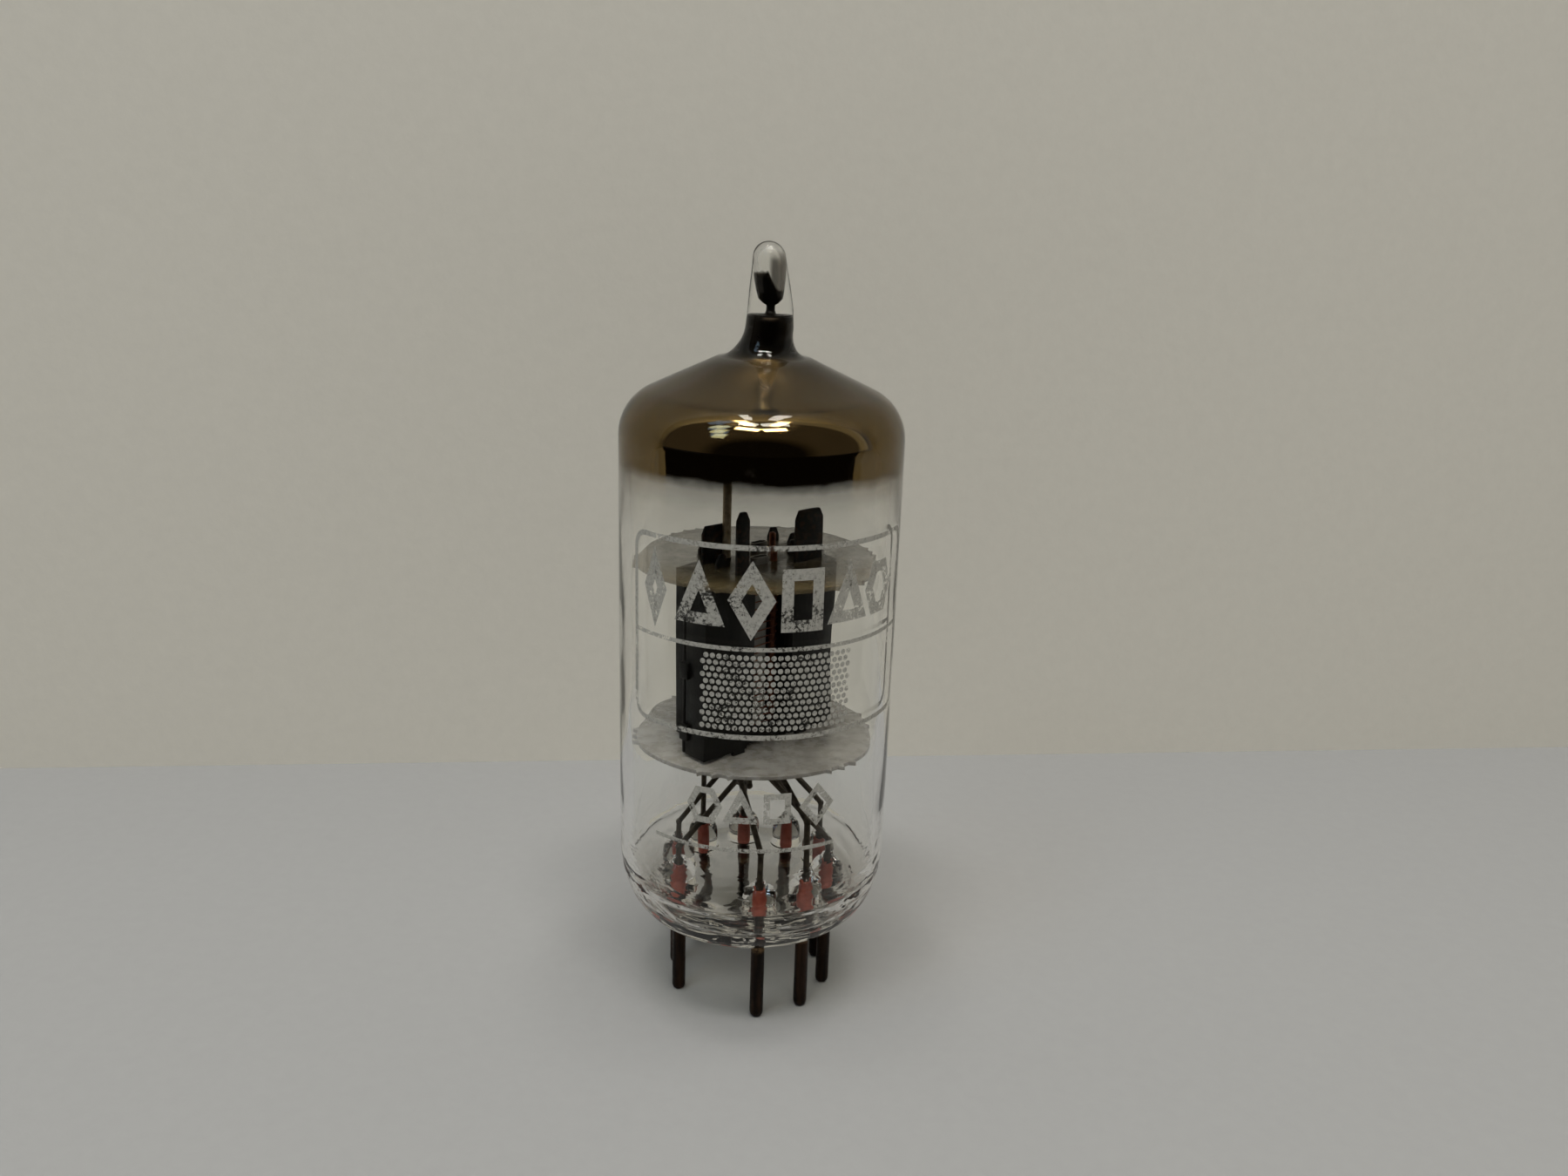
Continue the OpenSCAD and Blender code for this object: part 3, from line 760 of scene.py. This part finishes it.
def spot(bm, s, z):
    """A printed dot."""
    turns = [math.tau * (k + 0.5) / DOT_SIDES for k in range(DOT_SIDES)]
    places = [(s + DOT_R * math.cos(t), z + DOT_R * math.sin(t)) for t in turns]
    low = [bm.verts.new(on_bulb(*place)) for place in places]
    high = [bm.verts.new(on_bulb(*place, PRINT_T)) for place in places]
    bridge(bm, low, high)
    bm.faces.new(high)
    bm.faces.new(list(reversed(low)))


def polygon_mark(bm, degrees, z, half_w, half_h, shape, width):
    """A closed outline with straight sides, at an angle round the bulb from the front."""
    sides, first = shape
    turns = [math.radians(first) + math.tau * k / sides for k in range(sides)]
    s = turn_mm(degrees)
    stroke(bm, [(s + half_w * math.cos(t), z + half_h * math.sin(t)) for t in turns], width, closed=True)


# Heights of the frame's three lines and of the line near the foot, and how far round they reach.
LINE_TOP, LINE_MIDDLE, LINE_LOW, LINE_FOOT = 37.75, 30.8, 24.5, 16.0
FRAME_LEFT, FRAME_RIGHT = turn_mm(-54), turn_mm(76)
FOOT_LEFT, FOOT_RIGHT = turn_mm(-41), turn_mm(36)
FRAME_CORNER = 1.1
FRAME_W = 0.36
LINE_W = 0.3

# Shapes are a number of sides and the angle of the first corner.
TRIANGLE, SQUARE, LOZENGE, HEXAGON = (3, 90), (4, 45), (4, 90), (6, 0)

# Large outlines are an angle round the bulb, a shape, and half the width and height.
LARGE_MARKS = [(-42, LOZENGE, 0.65, 1.7), (-21.5, TRIANGLE, 1.45, 2.0), (-1, LOZENGE, 1.15, 1.95),
               (18.5, SQUARE, 1.5, 2.5), (38.5, TRIANGLE, 1.3, 1.9), (56, HEXAGON, 1.15, 1.7)]
LARGE_Z = (LINE_TOP + LINE_MIDDLE) / 2 - 0.1
LARGE_W = 0.8
LARGE_TRIANGLE_DROP = 0.5

SMALL_MARKS = [(-18, HEXAGON), (-3.5, TRIANGLE), (11, SQUARE), (27.5, LOZENGE)]
SMALL_Z = 19.2
SMALL_W = 0.45
SMALL_HALF_W, SMALL_HALF_H = 1.05, 1.3
SMALL_TRIANGLE_DROP = 0.25

DOT_R = 0.19
DOT_SIDES = 10
DOT_ROWS, DOT_COLUMNS = 12, 23
DOT_PITCH = 0.46
DOT_LEFT = turn_mm(-19.5)
DOT_LOW = LINE_LOW + 0.65
DOT_FIELD_H = LINE_MIDDLE - LINE_LOW - 1.25


def frame_outline():
    """The print's frame, with round corners."""
    right, left = FRAME_RIGHT - FRAME_CORNER, FRAME_LEFT + FRAME_CORNER
    top, low = LINE_TOP - FRAME_CORNER, LINE_LOW + FRAME_CORNER
    outline = []
    for quarter, centre in enumerate(((right, top), (left, top), (left, low), (right, low))):
        outline += arc(centre, FRAME_CORNER, FRAME_CORNER, 90 * quarter, 90 * quarter + 90, 6)
    return outline


def make_print():
    """Frame lines, a field of dots and plain outlines in place of the lettering."""
    bm = bmesh.new()
    stroke(bm, frame_outline(), FRAME_W, closed=True)
    stroke(bm, [(FRAME_LEFT, LINE_MIDDLE), (FRAME_RIGHT, LINE_MIDDLE)], LINE_W)
    stroke(bm, [(FOOT_LEFT, LINE_FOOT), (FOOT_RIGHT, LINE_FOOT)], LINE_W)
    for degrees, shape, half_w, half_h in LARGE_MARKS:
        z = LARGE_Z - (LARGE_TRIANGLE_DROP if shape == TRIANGLE else 0)
        polygon_mark(bm, degrees, z, half_w, half_h, shape, LARGE_W)
    for row in range(DOT_ROWS):
        z = DOT_LOW + row * DOT_FIELD_H / (DOT_ROWS - 1)
        for column in range(DOT_COLUMNS):
            spot(bm, DOT_LEFT + (column + 0.5 * (row % 2)) * DOT_PITCH, z)
    for degrees, shape in SMALL_MARKS:
        z = SMALL_Z - (SMALL_TRIANGLE_DROP if shape == TRIANGLE else 0)
        polygon_mark(bm, degrees, z, SMALL_HALF_W, SMALL_HALF_H, shape, SMALL_W)
    bmesh.ops.recalc_face_normals(bm, faces=bm.faces)
    new_object("printed_marks", bm, PRINT, smooth=False)


make_print()


# ---------------------------------------------------------------- electrodes

SHEET_EASE = 0.05
MICA_EASE = 0.04

for side in (1, 2):
    for half in ("outer", "inner"):
        refined(f"anode_{side}_{half}", ANODE, SHEET_EASE)
refined("lower_mica", LOWER_MICA, MICA_EASE)
refined("upper_mica", UPPER_MICA, MICA_EASE)


def dress(node, material):
    """Gives a CAD node that keeps its shape its finish."""
    piece = NODES[node]
    if not piece.material_slots:
        piece.data.materials.append(material)
    for slot in piece.material_slots:
        slot.material = material


ROD_R = 0.25
ROD_NOSE = 0.08
ROD_AROUND = 20
GRID_WIRE_R = 0.045
GRID_WIRE_AROUND = 6
GRID_PITCH = 0.55
GRID_HALF_T = 0.42
GRID_PAST_ROD = 0.2
GRID_END_GAP = 0.8
TURN_STEPS = 28


def squared(wave, power):
    """A sine or cosine with its peaks flattened. The smaller the power, the flatter they are."""
    return math.copysign(abs(wave) ** power, wave)


def make_grid(side):
    """Two copper side rods with one continuous winding, notched into them."""
    low, high = mm_box(f"control_grid_{side}")
    middle = (low + high) / 2
    angle = CAGE_ANGLE + (0 if side == 2 else math.pi)
    along = Vector((-math.sin(angle), math.cos(angle), 0))
    across = Vector((math.cos(angle), math.sin(angle), 0))
    from_middle = abs((high.x - low.x - 2 * ROD_R) / along.x) / 2
    bm = bmesh.new()
    rod = [(0, low.z), (ROD_R - ROD_NOSE, low.z), (ROD_R, low.z + ROD_NOSE),
           (ROD_R, high.z - ROD_NOSE), (ROD_R - ROD_NOSE, high.z), (0, high.z)]
    for end in (-1, 1):
        foot = middle + along * end * from_middle
        turned(bm, rod, ROD_AROUND, foot.xy)
    start_z, end_z = LOW_MICA_TOP + GRID_END_GAP, UP_MICA - GRID_END_GAP
    path = []
    for k in range(int((end_z - start_z) / GRID_PITCH * TURN_STEPS)):
        turn = math.tau * k / TURN_STEPS
        reach = (from_middle + GRID_PAST_ROD) * squared(math.sin(turn), 0.45)
        depth = GRID_HALF_T * squared(math.cos(turn), 0.3)
        flat = middle.xy + along.xy * reach + across.xy * depth
        path.append((*flat, start_z + GRID_PITCH * k / TURN_STEPS))
    sweep(bm, path, GRID_WIRE_R, GRID_WIRE_AROUND)
    bmesh.ops.recalc_face_normals(bm, faces=bm.faces)
    grid = new_object(f"wound_grid_{side}", bm, COPPER)
    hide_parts(f"control_grid_{side}")


for side in (1, 2):
    make_grid(side)
    dress(f"cathode_{side}", CATHODE)
    dress(f"heater_{side}", HEATER)
    for electrode in ("anode", "grid", "cathode"):
        dress(f"{electrode}_lead_{side}", LEAD)
    dress(f"heater_lead_{side}", LEAD)
for n in range(1, 10):
    dress(f"base_pin_{n}", PIN)
dress("heater_centre_tap", LEAD)
dress("seal_wires", SEAL)
dress("getter_post", POST)
dress("getter_ring", POST)


# ---------------------------------------------------------------- studio

# The floor reaches this far each way. The backdrop stands behind the tube, a little askew.
REACH = 1500
WALL_Y = 41.2
WALL_TURN = 0.11
WALL_H = 500
FLOOR_EDGE = 26


def stage_sheet(name, corners, material):
    """A flat sheet that belongs to the studio, not to the tube."""
    bm = bmesh.new()
    bm.faces.new([bm.verts.new(corner) for corner in corners])
    sheet = new_object(name, bm, material, body=None, smooth=False)


def plain_material(name, colour):
    """Matt paint with a faint speckle. Returns the material's nodes and its shader, to add to."""
    s = Shader(name)
    speckle = s.noise(1.2, detail=3)
    tone = s.mix(speckle, tuple(c * 0.96 for c in colour), tuple(c * 1.03 for c in colour))
    return s, s.principled(Base_Color=tone, Roughness=0.8, Normal=s.bump(speckle, 0.05, 0.4))


def floor_material():
    """Pale, but dark in front of the tube where it shows as a reflection."""
    s, matt = plain_material("pale floor", (0.318, 0.320, 0.320))
    y = s.add("ShaderNodeSeparateXYZ", {"Vector": s.place}).outputs["Y"]
    # Painted dark reflection: seen in a reflection, the floor in front of the tube turns to a near black
    # emission, as painted shade.
    front = s.math("LESS_THAN", y, -FLOOR_EDGE * MM)
    mirrored = s.math("MULTIPLY", front, s.add("ShaderNodeLightPath").outputs["Glossy Depth"], clamp=True)
    dark = s.add("ShaderNodeEmission", {"Color": (0.006, 0.005, 0.004, 1)}).outputs["Emission"]
    return s.finish(s.join(mirrored, matt, dark))


def backdrop_material():
    """Seen only from the front, so that views from behind look through it."""
    s, matt = plain_material("pale backdrop", (0.82, 0.79, 0.705))
    behind = s.add("ShaderNodeNewGeometry").outputs["Backfacing"]
    clear = s.add("ShaderNodeBsdfTransparent").outputs["BSDF"]
    return s.finish(s.join(behind, matt, clear))


def make_studio():
    """A floor and a backdrop, both plain and pale."""
    floor = [(-REACH, -REACH, 0), (REACH, -REACH, 0), (REACH, REACH, 0), (-REACH, REACH, 0)]
    stage_sheet("floor", floor, floor_material())
    left, right = WALL_Y - REACH * WALL_TURN, WALL_Y + REACH * WALL_TURN
    wall = [(-REACH, left, 0), (REACH, right, 0), (REACH, right, WALL_H), (-REACH, left, WALL_H)]
    stage_sheet("backdrop", wall, backdrop_material())


AIM = Vector((0, 0, 30))


def make_light(name, place, size, strength, colour):
    """A rectangular light that faces the tube. Its strength is how bright it looks, whatever its size."""
    data = bpy.data.lights.new(name, "AREA")
    data.shape = "RECTANGLE"
    data.size, data.size_y = (side * MM for side in size)
    data.energy = strength * data.size * data.size_y * math.pi
    data.color = colour
    light = bpy.data.objects.new(name, data)
    light.location = place * MM
    light.rotation_euler = (AIM * MM - light.location).to_track_quat("-Z", "Y").to_euler()
    bpy.context.scene.collection.objects.link(light)


# Two rows of two ceiling strips. A row is its place front to back, its depth and its strength.
STRIP_X, STRIP_Z = 122, 850
STRIP_LENGTH = 225
STRIP_ROWS = [(-30, 80, 21.0), (-290, 110, 29.0)]
STRIP_COLOUR = (1.0, 0.97, 0.91)

# A skylight with two columns of three panes, high on the left in front.
WINDOW_MIDDLE = Vector((-315, -266, 590))
PANE_ACROSS = 34 * Vector((0.75, -0.3, 0.15))
PANE_UP = 165 * Vector((0.1, 0.62, 0.55))
PANE_SIZE = (56, 130)
PANE_STRENGTH = 3.6
PANE_COLOUR = (0.55, 0.76, 1.0)


def make_lights():
    """Ceiling strips and window panes, which light the tube and show in its dome."""
    for row, (y, depth, strength) in enumerate(STRIP_ROWS):
        for end in (-1, 1):
            place = Vector((end * STRIP_X, y, STRIP_Z))
            make_light(f"strip_{row}_{end + 1}", place, (STRIP_LENGTH, depth), strength, STRIP_COLOUR)
    for column in (-1, 1):
        for row in (-1, 0, 1):
            place = WINDOW_MIDDLE + column * PANE_ACROSS + row * PANE_UP
            make_light(f"pane_{column + 1}_{row + 1}", place, PANE_SIZE, PANE_STRENGTH, PANE_COLOUR)


def make_room():
    """A pale surround, which the tube mirrors as dim in front of it and darkest straight ahead."""
    world = bpy.data.worlds.new("room")
    room = Nodes(world)
    towards = room.add("ShaderNodeTexCoord").outputs["Generated"]
    towards_y = room.add("ShaderNodeSeparateXYZ", {"Vector": towards}).outputs["Y"]
    pale = room.add("ShaderNodeBackground", {"Color": (0.42, 0.42, 0.405, 1)}).outputs["Background"]
    dim = room.add("ShaderNodeBackground", {"Color": (0.10, 0.09, 0.075, 1)}).outputs["Background"]
    dark = room.add("ShaderNodeBackground", {"Color": (0.012, 0.011, 0.01, 1)}).outputs["Background"]
    in_front = room.join(room.span(towards_y, -0.62, -0.8), dim, dark)
    mirrored = room.join(room.span(towards_y, 0.02, -0.03), pale, in_front)
    seen = room.add("ShaderNodeLightPath").outputs["Is Camera Ray"]
    room.add("ShaderNodeOutputWorld", {"Surface": room.join(seen, mirrored, pale)})
    bpy.context.scene.world = world


make_studio()
make_lights()
make_room()
bpy.context.scene.view_settings.view_transform = "Standard"
